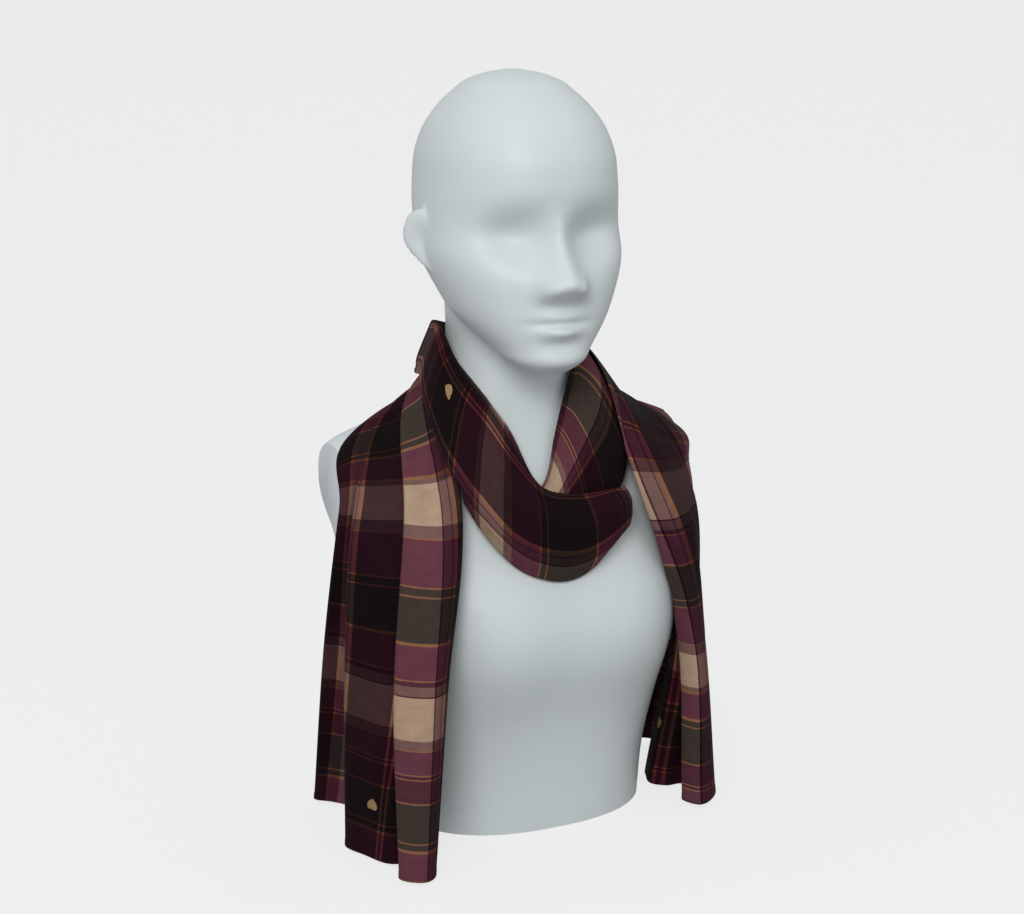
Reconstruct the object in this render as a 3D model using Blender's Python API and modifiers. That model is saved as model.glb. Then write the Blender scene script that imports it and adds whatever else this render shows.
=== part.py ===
"""Silk scarf wound once round a display bust without limbs. Metres, +Z up, bust facing -Y.

The scarf is one strip of cloth: its middle hangs as a loop in front, its ends cross behind the
nape and hang forward over both shoulders. The bust stands on its flat base, cut at the waist.
"""
import math
from collections import namedtuple

import bmesh
import bpy
import numpy as np
from mathutils import Matrix, Vector
from mathutils.bvhtree import BVHTree

# Bust
TorsoRow = namedtuple("TorsoRow", "height half_width front back")
TORSO_ROWS = (
    TorsoRow(0.000, 0.104, -0.086, 0.080),
    TorsoRow(0.045, 0.108, -0.088, 0.083),
    TorsoRow(0.095, 0.119, -0.092, 0.088),
    TorsoRow(0.150, 0.133, -0.098, 0.093),
    TorsoRow(0.200, 0.141, -0.097, 0.095),
    TorsoRow(0.245, 0.149, -0.087, 0.093),
    TorsoRow(0.275, 0.162, -0.075, 0.086),
    TorsoRow(0.297, 0.158, -0.063, 0.078),
    TorsoRow(0.310, 0.142, -0.055, 0.071),
    TorsoRow(0.320, 0.117, -0.049, 0.066),
    TorsoRow(0.330, 0.092, -0.044, 0.062),
    TorsoRow(0.342, 0.073, -0.039, 0.059),
    TorsoRow(0.355, 0.060, -0.036, 0.060),
    TorsoRow(0.372, 0.050, -0.035, 0.064),
    TorsoRow(0.420, 0.046, -0.036, 0.068),
    TorsoRow(0.460, 0.044, -0.034, 0.066),
)
TORSO_LOW_RINGS = 7
TORSO_HIGH_RINGS = 14
TORSO_SIDES = 36
WAIST_SQUARENESS = 2.4
SHOULDER_SQUARENESS = 2.0
RING_CHANGE = 0.250
WAIST_TOP = 0.200
SHOULDER_BOTTOM = 0.270
SHOULDER_BACK = 0.013
BREAST_OUT = 0.062
BREAST_HEIGHT = 0.165
BREAST_DEPTH = 0.025
BREAST_SPREAD = 0.045
ARM_CUT = 0.147

HeadRow = namedtuple("HeadRow", "height half_width front back widest")
HEAD_ROWS = (
    HeadRow(0.3710, 0.0120, -0.0900, -0.0700, -0.0800),
    HeadRow(0.3780, 0.0270, -0.0985, -0.0450, -0.0700),
    HeadRow(0.3900, 0.0390, -0.1015, -0.0100, -0.0550),
    HeadRow(0.4100, 0.0565, -0.1030, 0.0300, -0.0350),
    HeadRow(0.4300, 0.0670, -0.1025, 0.0480, -0.0250),
    HeadRow(0.4550, 0.0755, -0.1010, 0.0730, -0.0150),
    HeadRow(0.4800, 0.0755, -0.0990, 0.0880, -0.0050),
    HeadRow(0.5100, 0.0740, -0.1030, 0.0935, 0.0000),
    HeadRow(0.5350, 0.0710, -0.0995, 0.0915, 0.0000),
    HeadRow(0.5600, 0.0600, -0.0840, 0.0755, 0.0000),
    HeadRow(0.5780, 0.0440, -0.0610, 0.0545, 0.0000),
    HeadRow(0.5880, 0.0300, -0.0410, 0.0365, 0.0000),
    HeadRow(0.5925, 0.0160, -0.0215, 0.0190, 0.0000),
    HeadRow(0.5945, 0.0040, -0.0060, 0.0050, 0.0000),
)
MOUTH_BOTTOM = 0.395
NOSE_BOTTOM = 0.428
FACE_TOP = 0.515
JAW_RINGS = 4
MOUTH_RINGS = 9
EYE_RINGS = 13
CROWN_RINGS = 8
HEAD_SIDES = 42
HEAD_FRONT_DENSITY = 0.45
HEAD_SQUARENESS = 2.3
HEAD_TURN = math.radians(-4.0)

# Soft swellings (+) and hollows (-) of the face, about its middle plane
FaceForm = namedtuple("FaceForm", "out height depth spread_x spread_z")
FACE_FORMS = (
    FaceForm(0.030, 0.4730, -0.0185, 0.0170, 0.0125),
    FaceForm(0.045, 0.4480, 0.0015, 0.0200, 0.0160),
    FaceForm(0.000, 0.4415, 0.0045, 0.0080, 0.0065),
    FaceForm(0.013, 0.4370, 0.0095, 0.0052, 0.0055),
    FaceForm(0.000, 0.4160, 0.0062, 0.0130, 0.0042),
    FaceForm(0.000, 0.4103, -0.0060, 0.0165, 0.0017),
    FaceForm(0.000, 0.4042, 0.0092, 0.0118, 0.0047),
    FaceForm(0.000, 0.3945, -0.0040, 0.0130, 0.0050),
    FaceForm(0.000, 0.3820, 0.0050, 0.0150, 0.0090),
)
NOSE_ROOT = 0.491
NOSE_TIP = 0.4425
NOSE_BASE = 0.4310
NOSE_ROOT_DEPTH = 0.0035
NOSE_TIP_DEPTH = 0.0195
NOSE_ROOT_SPREAD = 0.0085
NOSE_TIP_SPREAD = 0.0088
NOSE_ROOT_FADE = 0.008
NOSE_BASE_FADE = 0.009
NOSE_CURVE = 1.3
EAR_CENTRE = Vector((0.0765, -0.0115, 0.4625))
EAR_HALF_SIZE = Vector((0.0070, 0.0190, 0.0285))
EAR_LEAN = math.radians(-18.0)
EAR_FLARE = math.radians(-38.0)
EAR_SIDES = 16
EAR_RINGS = 10
ARM_CUTTER_SIZE = 0.5
BUST_COLOUR = (0.60, 0.66, 0.67)
BUST_ROUGHNESS = 0.45

# Scarf. Angles go round the neck from the front, positive towards the bust's right
CLOTH_WALL = 0.0012
LAYER_GAP = 0.0018
RESTING_GAP = 0.0005
SEAM_GAP = 0.0003
NECK_AXIS_Y = 0.015
HEM_HEIGHT = 0.004
WAIST_HEIGHT = 0.150
CHEST_HEIGHT = 0.270
CREST_Y = 0.010
NAPE_ANGLE = math.radians(130.0)

# Each section of a band: radius and height of its lines, from the neck side to the hem
BandRow = namedtuple(
    "BandRow",
    "angle neck_r neck_z ridge_r ridge_z face_r face_z edge_r edge_z roll_r roll_z hem_r hem_z",
)
LEFT_BAND_ROWS = (
    BandRow(-30, .112, .272, .114, .276, .117, .271, .117, .263, .115, .257, .112, .252),
    BandRow(-26, .115, .271, .120, .277, .127, .270, .128, .257, .125, .250, .118, .245),
    BandRow(-19, .114, .269, .120, .278, .131, .268, .133, .252, .130, .243, .122, .237),
    BandRow(-10, .111, .269, .117, .277, .131, .262, .134, .243, .132, .232, .124, .222),
    BandRow(0, .105, .271, .115, .278, .132, .260, .135, .238, .132, .225, .123, .213),
    BandRow(10, .098, .284, .112, .284, .131, .266, .135, .241, .132, .227, .124, .215),
    BandRow(20, .081, .318, .103, .307, .127, .283, .135, .252, .133, .239, .125, .226),
    BandRow(33, .071, .341, .091, .340, .115, .317, .131, .283, .131, .271, .123, .256),
    BandRow(45, .066, .356, .083, .360, .104, .345, .122, .313, .121, .303, .112, .292),
    BandRow(58, .061, .367, .073, .376, .089, .368, .103, .342, .102, .332, .097, .326),
    BandRow(72, .056, .376, .063, .389, .073, .380, .085, .356, .086, .348, .085, .342),
    BandRow(88, .053, .384, .058, .397, .063, .390, .072, .369, .073, .362, .074, .357),
    BandRow(103, .053, .385, .057, .397, .062, .388, .070, .368, .071, .361, .072, .356),
)
RIGHT_BAND_ROWS = (
    BandRow(14, .098, .271, .103, .269, .106, .265, .108, .260, .109, .256, .110, .250),
    BandRow(5, .092, .284, .100, .279, .105, .272, .109, .263, .111, .255, .112, .247),
    BandRow(-6, .076, .314, .088, .306, .098, .294, .106, .279, .110, .267, .112, .254),
    BandRow(-18, .066, .336, .079, .330, .092, .316, .103, .297, .110, .281, .113, .264),
    BandRow(-30, .061, .352, .073, .349, .088, .334, .101, .311, .109, .293, .112, .276),
    BandRow(-45, .057, .364, .066, .365, .080, .353, .093, .333, .101, .317, .104, .304),
    BandRow(-65, .054, .372, .059, .377, .069, .368, .080, .351, .085, .340, .087, .331),
    BandRow(-88, .052, .379, .055, .386, .060, .380, .067, .363, .071, .352, .075, .342),
    BandRow(-103, .052, .380, .055, .387, .059, .381, .065, .363, .070, .352, .074, .341),
)

# Each fold of a tail, from its edge near the face: places at hem, waist, chest and shoulder top
FoldRow = namedtuple("FoldRow", "name hem_x hem_y waist_x waist_y chest_x chest_y crest_x crest_z")
RIGHT_TAIL_ROWS = (
    FoldRow("inner_edge", -.112, -.070, -.116, -.082, -.092, -.070, -.060, .357),
    FoldRow("inner_wave", -.121, -.088, -.112, -.100, -.086, -.076, -.057, .361),
    FoldRow("front_right", -.123, -.127, -.109, -.122, -.083, -.089, -.059, .367),
    FoldRow("front_middle", -.136, -.140, -.127, -.137, -.104, -.098, -.074, .352),
    FoldRow("front_left", -.151, -.124, -.150, -.117, -.126, -.081, -.088, .340),
    FoldRow("first_pocket", -.129, -.106, -.131, -.104, -.109, -.080, -.078, .3385),
    FoldRow("side_right", -.148, -.100, -.147, -.096, -.124, -.072, -.086, .3340),
    FoldRow("side_middle", -.160, -.078, -.159, -.074, -.142, -.064, -.098, .3310),
    FoldRow("side_left", -.168, -.053, -.165, -.052, -.156, -.054, -.109, .3285),
    FoldRow("second_pocket", -.134, -.030, -.140, -.036, -.141, -.049, -.100, .3275),
    FoldRow("outer_right", -.138, .012, -.144, -.008, -.150, -.043, -.108, .3265),
    FoldRow("outer_middle", -.150, .029, -.150, .006, -.158, -.044, -.122, .3240),
    FoldRow("outer_left", -.161, .041, -.158, .014, -.162, -.039, -.134, .3160),
    FoldRow("outer_back", -.149, .056, -.149, .028, -.156, -.037, -.131, .3130),
    FoldRow("outer_edge", -.126, .060, -.140, .036, -.150, -.036, -.127, .3150),
)
LEFT_TAIL_ROWS = (
    FoldRow("inner_edge", .114, -.026, .130, -.038, .083, -.0745, .060, .361),
    FoldRow("inner_left", .107, -.049, .122, -.060, .086, -.0770, .063, .364),
    FoldRow("inner_front", .116, -.058, .126, -.068, .093, -.0775, .067, .359),
    FoldRow("inner_right", .130, -.060, .134, -.070, .102, -.0760, .074, .349),
    FoldRow("first_pocket", .139, -.070, .138, -.076, .108, -.0800, .075, .353),
    FoldRow("front_return", .125, -.081, .122, -.082, .092, -.0860, .064, .373),
    FoldRow("front_left", .114, -.090, .106, -.088, .068, -.0930, .058, .384),
    FoldRow("front_middle", .121, -.104, .112, -.101, .080, -.1010, .066, .376),
    FoldRow("front_right", .142, -.093, .127, -.094, .100, -.0950, .080, .353),
    FoldRow("side_front", .156, -.068, .137, -.074, .113, -.0840, .094, .338),
    FoldRow("side_middle", .164, -.044, .147, -.050, .127, -.0690, .109, .3280),
    FoldRow("second_pocket", .147, -.030, .146, -.038, .125, -.0620, .104, .3250),
    FoldRow("outer_right", .151, -.002, .152, -.012, .134, -.0540, .113, .3215),
    FoldRow("outer_middle", .163, .022, .160, .006, .142, -.0430, .127, .3160),
    FoldRow("outer_left", .151, .044, .153, .026, .148, -.0290, .138, .3080),
    FoldRow("outer_edge", .129, .050, .137, .034, .149, -.0200, .140, .2990),
)
NAPE_TOP = 0.380
NAPE_BOTTOM = 0.336
NAPE_WAVE = 0.0012
NAPE_WAVES = 3.5
INNER_NAPE_RADIUS = 0.0505
OUTER_NAPE_RADIUS = 0.0575
NAPE_SPREAD = 0.0130
CLEARING_TURNS = 6
LAST_FIRM_TURNS = 2
LAYER_REACH = 0.050
INNER_NAPE_STEPS = (12, 18)
OUTER_NAPE_STEPS = (14, 18)
RIGHT_BAND_STEPS = (18, 12)
LEFT_BAND_STEPS = (24, 16)
TAIL_STEPS = (22, 2)
SCARF_COLOUR = (0.055, 0.014, 0.028)
SCARF_ROUGHNESS = 0.85


def blend_through(knots, values, at):
    """Read a smooth curve through values, given at rising knots, at each place in at."""
    knots = np.asarray(knots, float)
    values = np.asarray(values, float)
    values = values.reshape(len(knots), -1)
    at = np.atleast_1d(np.asarray(at, float))
    steps = np.diff(knots)
    slopes = np.diff(values, axis=0) / steps[:, None]
    tangents = np.empty_like(values)
    tangents[0] = slopes[0]
    tangents[-1] = slopes[-1]
    weights = (steps[1:] / (steps[:-1] + steps[1:]))[:, None]
    tangents[1:-1] = weights * slopes[:-1] + (1.0 - weights) * slopes[1:]
    index = np.clip(np.searchsorted(knots, at, side="right") - 1, 0, len(knots) - 2)
    share = ((at - knots[index]) / steps[index])[:, None]
    step = steps[index][:, None]
    rise = share * share * (3.0 - 2.0 * share)
    start = share * (1.0 - share) ** 2
    end = -share * share * (1.0 - share)
    between = values[index] * (1.0 - rise) + values[index + 1] * rise
    return between + step * (start * tangents[index] + end * tangents[index + 1])


def material(name, colour, roughness):
    """Plain finish with one colour."""
    finish = bpy.data.materials.new(name)
    finish.use_nodes = True
    finish.diffuse_color = (*colour, 1.0)
    shader = finish.node_tree.nodes["Principled BSDF"]
    shader.inputs["Base Color"].default_value = (*colour, 1.0)
    shader.inputs["Roughness"].default_value = roughness
    shader.inputs["Metallic"].default_value = 0.0
    return finish


def mesh_object(name, corners, faces, collection):
    """Object with smooth faces from plain lists."""
    mesh = bpy.data.meshes.new(name)
    mesh.from_pydata([tuple(corner) for corner in corners], [], faces)
    mesh.shade_smooth()
    made = bpy.data.objects.new(name, mesh)
    collection.objects.link(made)
    return made


def ring_loft(name, rings, collection):
    """Closed skin through rings of equal point counts, listed from the bottom up."""
    count = len(rings[0])
    corners = [point for ring in rings for point in ring]
    faces = []
    for level in range(len(rings) - 1):
        for side in range(count):
            after = (side + 1) % count
            low = level * count
            high = low + count
            faces.append((low + side, low + after, high + after, high + side))
    top = (len(rings) - 1) * count
    faces.append(tuple(reversed(range(count))))
    faces.append(tuple(range(top, top + count)))
    return mesh_object(name, corners, faces, collection)


def torso_rings():
    """Level rings from the cut waist, over the chest and shoulders, up into the head."""
    heights = [row.height for row in TORSO_ROWS]
    sizes = [(row.half_width, row.front, row.back) for row in TORSO_ROWS]
    lower = np.linspace(0.0, RING_CHANGE, TORSO_LOW_RINGS, endpoint=False)
    upper = np.linspace(RING_CHANGE, heights[-1], TORSO_HIGH_RINGS)
    rings = []
    for height in np.concatenate((lower, upper)):
        half_width, front, back = blend_through(heights, sizes, height)[0]
        rise = min(max((height - WAIST_TOP) / (SHOULDER_BOTTOM - WAIST_TOP), 0.0), 1.0)
        power = WAIST_SQUARENESS + (SHOULDER_SQUARENESS - WAIST_SQUARENESS) * rise
        middle = 0.5 * (front + back)
        reach = 0.5 * (back - front)
        ring = []
        for side in range(TORSO_SIDES):
            angle = 2.0 * math.pi * side / TORSO_SIDES
            across = math.copysign(abs(math.sin(angle)) ** (2.0 / power), math.sin(angle))
            along = math.copysign(abs(math.cos(angle)) ** (2.0 / power), math.cos(angle))
            x = half_width * across
            y = middle - reach * along
            y += SHOULDER_BACK * rise * (abs(x) / ARM_CUT) ** 2
            if along > 0.0:
                up = (height - BREAST_HEIGHT) ** 2
                for out in (-BREAST_OUT, BREAST_OUT):
                    away = (x - out) ** 2 + up
                    y -= BREAST_DEPTH * math.exp(-away / (2.0 * BREAST_SPREAD ** 2)) * along
            ring.append((x, y, height))
        rings.append(ring)
    return rings


def face_depth(x, height):
    """How far the face stands out before the plain head at one place."""
    depth = 0.0
    for form in FACE_FORMS:
        across = (abs(x) - form.out) / form.spread_x
        up = (height - form.height) / form.spread_z
        depth += form.depth * math.exp(-0.5 * (across * across + up * up))
    low = NOSE_BASE - NOSE_BASE_FADE
    high = NOSE_ROOT + NOSE_ROOT_FADE
    if low < height < high:
        down = min(max((NOSE_ROOT - height) / (NOSE_ROOT - NOSE_TIP), 0.0), 1.0)
        ridge = NOSE_ROOT_DEPTH + (NOSE_TIP_DEPTH - NOSE_ROOT_DEPTH) * down ** NOSE_CURVE
        spread = NOSE_ROOT_SPREAD + (NOSE_TIP_SPREAD - NOSE_ROOT_SPREAD) * down
        under = min((height - low) / (NOSE_TIP - low), 1.0)
        root = min((high - height) / (2.0 * NOSE_ROOT_FADE), 1.0)
        shape = math.sin(0.5 * math.pi * under) * root
        depth += ridge * shape * math.exp(-0.5 * (x / spread) ** 2)
    return depth


def head_rings():
    """Level rings from the chin to the crown, with the face raised on their fronts."""
    heights = [row.height for row in HEAD_ROWS]
    sizes = [(row.half_width, row.front, row.back, row.widest) for row in HEAD_ROWS]
    crown_turns = np.linspace(0.0, 0.5 * math.pi, CROWN_RINGS)
    levels = np.concatenate((
        np.linspace(heights[0], MOUTH_BOTTOM, JAW_RINGS, endpoint=False),
        np.linspace(MOUTH_BOTTOM, NOSE_BOTTOM, MOUTH_RINGS, endpoint=False),
        np.linspace(NOSE_BOTTOM, FACE_TOP, EYE_RINGS, endpoint=False),
        FACE_TOP + (heights[-1] - FACE_TOP) * np.sin(crown_turns),
    ))
    rings = []
    for height in levels:
        half_width, front, back, widest = blend_through(heights, sizes, height)[0]
        ring = []
        for side in range(HEAD_SIDES):
            turn = 2.0 * math.pi * side / HEAD_SIDES
            angle = turn - HEAD_FRONT_DENSITY * math.sin(turn)
            along = abs(math.cos(angle)) ** (2.0 / HEAD_SQUARENESS)
            across = abs(math.sin(angle)) ** (2.0 / HEAD_SQUARENESS)
            x = half_width * math.copysign(across, math.sin(angle))
            if math.cos(angle) > 0.0:
                y = widest + (front - widest) * along
                y -= face_depth(x, height) * min(2.0 * along, 1.0)
            else:
                y = widest + (back - widest) * along
            ring.append((x, y, height))
        rings.append(ring)
    return rings


def new_collection(name):
    """Collection linked to the scene."""
    made = bpy.data.collections.new(name)
    bpy.context.scene.collection.children.link(made)
    return made


def make_guide(piece):
    """Show a helper shape as wire and keep it out of renders."""
    piece.hide_render = True
    piece.display_type = "WIRE"


def add_boolean(piece, other, operation):
    """Join another shape to a piece, or cut it away."""
    change = piece.modifiers.new(operation.title(), "BOOLEAN")
    change.operation = operation
    change.solver = "EXACT"
    change.object = other
    make_guide(other)


def make_ear(name, side, guides):
    """Plain oval ear on one side of the head, leaning back, with its back edge standing out."""
    bpy.ops.mesh.primitive_uv_sphere_add(
        segments=EAR_SIDES, ring_count=EAR_RINGS, radius=1.0
    )
    ear = bpy.context.object
    ear.name = name
    ear.scale = EAR_HALF_SIZE
    ear.rotation_euler = (EAR_LEAN, 0.0, side * EAR_FLARE)
    centre = Vector((side * EAR_CENTRE.x, EAR_CENTRE.y, EAR_CENTRE.z))
    ear.location = Matrix.Rotation(HEAD_TURN, 3, "Z") @ centre
    ear.rotation_euler.z += HEAD_TURN
    for owner in list(ear.users_collection):
        owner.objects.unlink(ear)
    guides.objects.link(ear)
    return ear


def make_bust(parts, guides):
    """Head, neck and torso in one body, cut flat below the arms' roots."""
    bust = ring_loft("bust", torso_rings(), parts)
    head = ring_loft("head_form", head_rings(), guides)
    head.rotation_euler = (0.0, 0.0, HEAD_TURN)
    add_boolean(bust, head, "UNION")
    for side, name in ((-1.0, "ear_right"), (1.0, "ear_left")):
        add_boolean(bust, make_ear(name, side, guides), "UNION")
    for side, name in ((-1.0, "arm_cut_right"), (1.0, "arm_cut_left")):
        bpy.ops.mesh.primitive_cube_add(size=ARM_CUTTER_SIZE)
        cutter = bpy.context.object
        cutter.name = name
        cutter.location = (side * (ARM_CUT + 0.5 * ARM_CUTTER_SIZE), 0.0, 0.5 * ARM_CUTTER_SIZE)
        for owner in list(cutter.users_collection):
            owner.objects.unlink(cutter)
        guides.objects.link(cutter)
        add_boolean(bust, cutter, "DIFFERENCE")
    bust.data.materials.append(material("bust_satin", BUST_COLOUR, BUST_ROUGHNESS))
    return bust


def polar_point(angle, radius, height):
    """Point on a half plane through the neck's axis."""
    return (-radius * math.sin(angle), NECK_AXIS_Y - radius * math.cos(angle), height)


def band_grid(rows, length_steps, width_steps):
    """Points of a band that runs round the neck: one row for each step along it."""
    angles = [row.angle for row in rows]
    order = 1.0 if angles[-1] > angles[0] else -1.0
    knots = [order * angle for angle in angles]
    steps_at = np.linspace(knots[0], knots[-1], length_steps + 1)
    values = blend_through(knots, [row[1:] for row in rows], steps_at)
    across = np.linspace(0.0, 1.0, width_steps + 1)
    lines = np.linspace(0.0, 1.0, values.shape[1] // 2)
    grid = []
    for angle, value in zip(steps_at, values):
        section = blend_through(lines, value.reshape(-1, 2), across)
        turn = math.radians(order * angle)
        grid.append([polar_point(turn, radius, height) for radius, height in section])
    return np.array(grid)


def nape_section(radius, shares):
    """Radius and height of the gathered cloth behind the neck, from its top to its bottom."""
    waves = NAPE_WAVE * np.cos(2.0 * math.pi * NAPE_WAVES * shares)
    radii = radius + NAPE_SPREAD * shares ** 1.5 + waves
    heights = NAPE_TOP + (NAPE_BOTTOM - NAPE_TOP) * shares
    return np.column_stack((radii, heights))


def nape_grid(start_row, radius, side, length_steps, width_steps):
    """Points of a stretch round the nape, from the end of a band to the start of a tail."""
    shares = np.linspace(0.0, 1.0, width_steps + 1)
    start = np.array(start_row[1:]).reshape(-1, 2)
    first = blend_through(np.linspace(0.0, 1.0, len(start)), start, shares)
    last = nape_section(radius, shares)
    seam = SEAM_GAP / radius
    start_turn = math.radians(start_row.angle) - side * seam
    end_turn = side * (NAPE_ANGLE - 2.0 * math.pi) + side * seam
    grid = []
    for share in np.linspace(0.0, 1.0, length_steps + 1):
        turn = start_turn + (end_turn - start_turn) * share
        blend = share * share * (3.0 - 2.0 * share)
        section = first + (last - first) * blend
        grid.append([polar_point(turn, reach, height) for reach, height in section])
    return np.array(grid)


def tail_grid(rows, side, nape_radius, length_steps, steps_per_fold):
    """Points of a hanging tail, from its hem over the shoulder to the nape."""
    stations = np.array((
        [(row.hem_x, row.hem_y, HEM_HEIGHT) for row in rows],
        [(row.waist_x, row.waist_y, WAIST_HEIGHT) for row in rows],
        [(row.chest_x, row.chest_y, CHEST_HEIGHT) for row in rows],
        [(row.crest_x, CREST_Y, row.crest_z) for row in rows],
        [polar_point(side * NAPE_ANGLE, reach, height)
         for reach, height in nape_section(nape_radius, np.linspace(0.0, 1.0, len(rows)))],
    ))
    folds = np.linalg.norm(np.diff(stations, axis=1), axis=2).mean(axis=0)
    fold_knots = np.concatenate(([0.0], np.cumsum(folds)))
    fold_knots /= fold_knots[-1]
    spans = np.linalg.norm(np.diff(stations, axis=0), axis=2).mean(axis=1)
    length_knots = np.concatenate(([0.0], np.cumsum(spans)))
    lengths = np.linspace(0.0, length_knots[-1], length_steps + 1)
    shape = (len(lengths), len(rows), 3)
    runs = blend_through(length_knots, stations, lengths).reshape(shape)
    steps = np.linspace(0.0, len(rows) - 1.0, (len(rows) - 1) * steps_per_fold + 1)
    across = np.interp(steps, np.arange(len(rows)), fold_knots)
    return np.array([blend_through(fold_knots, run, across) for run in runs])


def surface_tree(piece):
    """Search tree over a finished piece."""
    bpy.context.view_layer.update()
    return BVHTree.FromObject(piece, bpy.context.evaluated_depsgraph_get())


def clear_shift(place, near, bust_tree, layer_trees):
    """How far one point must move to stand clear of the bust and of the layers beneath."""
    point = Vector(place)
    surface, normal, _, _ = bust_tree.find_nearest(point)
    height = (point - surface).dot(normal)
    away = normal if height < near else (point - surface).normalized()
    if height < near:
        point += normal * (near - height)
    for tree in layer_trees:
        hit, _, _, _ = tree.ray_cast(point, away, LAYER_REACH)
        while hit is not None:
            point = hit + away * near
            hit, _, _, _ = tree.ray_cast(point, away, LAYER_REACH)
        surface, _, _, distance = tree.find_nearest(point)
        if distance < near:
            point += (point - surface).normalized() * (near - distance)
    return np.array(point) - place


def stand_clear(grid, gap, bust_tree, layer_trees):
    """Move a grid outwards until its points and the middles of its faces stand clear."""
    near = 0.5 * CLOTH_WALL + gap
    moved = grid.copy()
    for turn in range(CLEARING_TURNS):
        for index in np.ndindex(moved.shape[:2]):
            moved[index] += clear_shift(moved[index], near, bust_tree, layer_trees)
        for row, column in np.ndindex(moved.shape[0] - 1, moved.shape[1] - 1):
            face = moved[row:row + 2, column:column + 2]
            face += clear_shift(face.mean(axis=(0, 1)), near, bust_tree, layer_trees)
        if turn < CLEARING_TURNS - LAST_FIRM_TURNS:
            offset = moved - grid
            soft = offset.copy()
            soft[1:-1] = 0.5 * offset[1:-1] + 0.25 * (offset[:-2] + offset[2:])
            soft[:, 1:-1] = 0.5 * soft[:, 1:-1] + 0.25 * (soft[:, :-2] + soft[:, 2:])
            moved = grid + soft
    return moved


def make_cloth(name, grid, finish, collection):
    """Cloth wall of even thickness about a grid of points."""
    long_count, wide_count = grid.shape[:2]
    faces = []
    for row in range(long_count - 1):
        for column in range(wide_count - 1):
            corner = row * wide_count + column
            faces.append((corner, corner + 1, corner + wide_count + 1, corner + wide_count))
    cloth = mesh_object(name, grid.reshape(-1, 3), faces, collection)
    wall = cloth.modifiers.new("Wall", "SOLIDIFY")
    wall.thickness = CLOTH_WALL
    wall.offset = 0.0
    wall.use_even_offset = False
    cloth.data.materials.append(finish)
    return cloth


def make_scarf(bust, parts):
    """The six stretches of the scarf, from the layer next to the neck outwards."""
    finish = material("scarf_plaid", SCARF_COLOUR, SCARF_ROUGHNESS)
    bust_tree = surface_tree(bust)
    stretches = (
        ("nape_inner",
         nape_grid(RIGHT_BAND_ROWS[-1], INNER_NAPE_RADIUS, 1.0, *INNER_NAPE_STEPS), ()),
        ("loop_right_band", band_grid(RIGHT_BAND_ROWS, *RIGHT_BAND_STEPS), ()),
        ("tail_right", tail_grid(RIGHT_TAIL_ROWS, 1.0, INNER_NAPE_RADIUS, *TAIL_STEPS), ()),
        ("nape_outer",
         nape_grid(LEFT_BAND_ROWS[-1], OUTER_NAPE_RADIUS, -1.0, *OUTER_NAPE_STEPS),
         ("nape_inner", "tail_right")),
        ("tail_left", tail_grid(LEFT_TAIL_ROWS, -1.0, OUTER_NAPE_RADIUS, *TAIL_STEPS),
         ("nape_inner", "loop_right_band")),
        ("loop_left_band", band_grid(LEFT_BAND_ROWS, *LEFT_BAND_STEPS),
         ("loop_right_band", "tail_right", "nape_inner")),
    )
    trees = {}
    for name, grid, beneath in stretches:
        gap = LAYER_GAP if beneath else RESTING_GAP
        clear = stand_clear(grid, gap, bust_tree, [trees[under] for under in beneath])
        trees[name] = surface_tree(make_cloth(name, clear, finish, parts))


def build_all():
    """Clear the scene, then make the bust and the scarf on it."""
    for old in list(bpy.data.objects):
        bpy.data.objects.remove(old, do_unlink=True)
    parts = new_collection("silk_scarf_on_bust")
    guides = new_collection("guides")
    bust = make_bust(parts, guides)
    make_scarf(bust, parts)


build_all()
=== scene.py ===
"""Silk scarf on a display bust without limbs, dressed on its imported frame. Metres, +Z up."""
import math
from collections import namedtuple

import bmesh
import bpy
import numpy as np
from mathutils import Matrix, Vector
from mathutils.bvhtree import BVHTree


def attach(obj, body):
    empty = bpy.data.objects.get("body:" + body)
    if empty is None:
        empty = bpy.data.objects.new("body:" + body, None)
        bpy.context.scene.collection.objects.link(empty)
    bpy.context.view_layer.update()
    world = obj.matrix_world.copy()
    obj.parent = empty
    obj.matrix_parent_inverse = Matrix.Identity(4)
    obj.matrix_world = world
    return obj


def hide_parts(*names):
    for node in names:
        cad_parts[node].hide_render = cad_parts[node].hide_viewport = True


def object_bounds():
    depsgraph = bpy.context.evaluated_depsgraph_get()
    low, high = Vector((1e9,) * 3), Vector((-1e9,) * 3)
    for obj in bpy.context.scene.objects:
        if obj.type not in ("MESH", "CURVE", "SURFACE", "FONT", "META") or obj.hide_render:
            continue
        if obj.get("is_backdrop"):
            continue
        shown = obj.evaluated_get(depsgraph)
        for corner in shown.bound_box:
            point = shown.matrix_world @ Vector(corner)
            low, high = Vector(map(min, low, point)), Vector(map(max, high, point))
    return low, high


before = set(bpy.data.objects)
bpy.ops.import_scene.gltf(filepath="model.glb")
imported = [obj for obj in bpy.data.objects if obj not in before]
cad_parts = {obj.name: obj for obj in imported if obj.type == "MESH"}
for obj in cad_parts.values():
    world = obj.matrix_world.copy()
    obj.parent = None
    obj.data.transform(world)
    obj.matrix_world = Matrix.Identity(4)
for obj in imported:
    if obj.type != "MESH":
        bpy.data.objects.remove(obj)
cad_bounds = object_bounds()

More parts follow.
